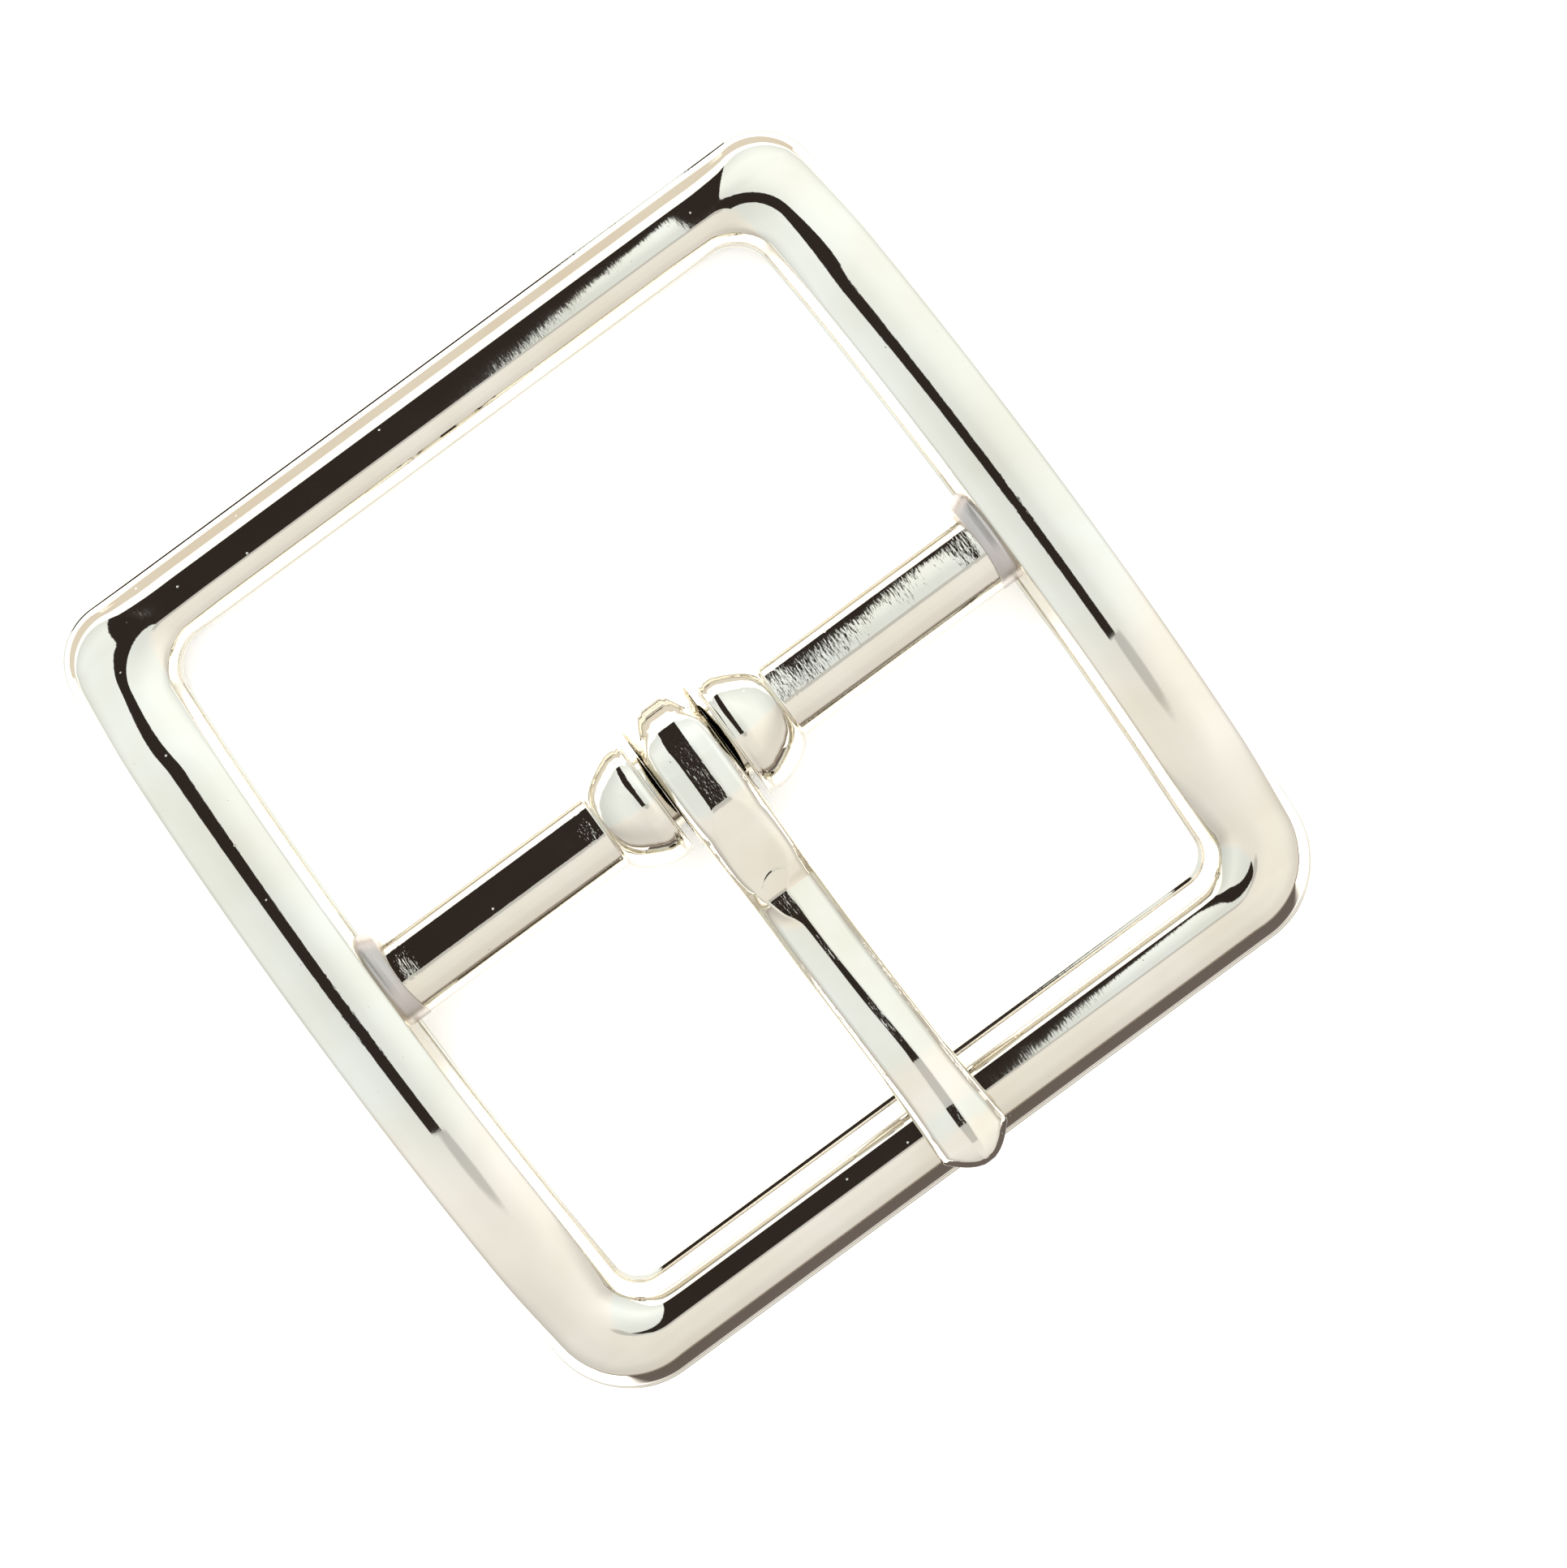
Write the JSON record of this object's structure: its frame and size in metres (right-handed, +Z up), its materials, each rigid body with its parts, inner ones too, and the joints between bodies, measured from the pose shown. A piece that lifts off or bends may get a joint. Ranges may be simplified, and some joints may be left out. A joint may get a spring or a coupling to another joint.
{
  "type": "square centre-bar buckle",
  "caption": "Square strap buckle: a plated one-piece frame, gently arched, with a centre bar and a pivoting tongue that rests on the front bar.",
  "frame": {"origin": "on the surface that the buckle lies on, under the middle of its outline with the tongue at rest", "axes": "+X along the centre bar, +Y from the front bar to the heel bar, +Z up out of the surface"},
  "size_m": [0.0502, 0.052, 0.0083],
  "materials": {
    "frame_plate": "bright nickel plate on a polished zinc die-casting, with a faint orange-peel ripple",
    "tongue_plate": "bright nickel plate on a tumbled zinc tongue, a little rougher on its crown"
  },
  "bodies": {
    "frame": {"frame": "frame_plate"},
    "tongue": {"tongue": "tongue_plate"}
  },
  "joints": [
    {"name": "tongue_hinge", "type": "hinge", "parent": "frame", "child": "tongue", "pos_m": [0, 0.00028, 0.0042], "axis": [-1, 0, 0], "range_deg": [0, 170]}
  ]
}
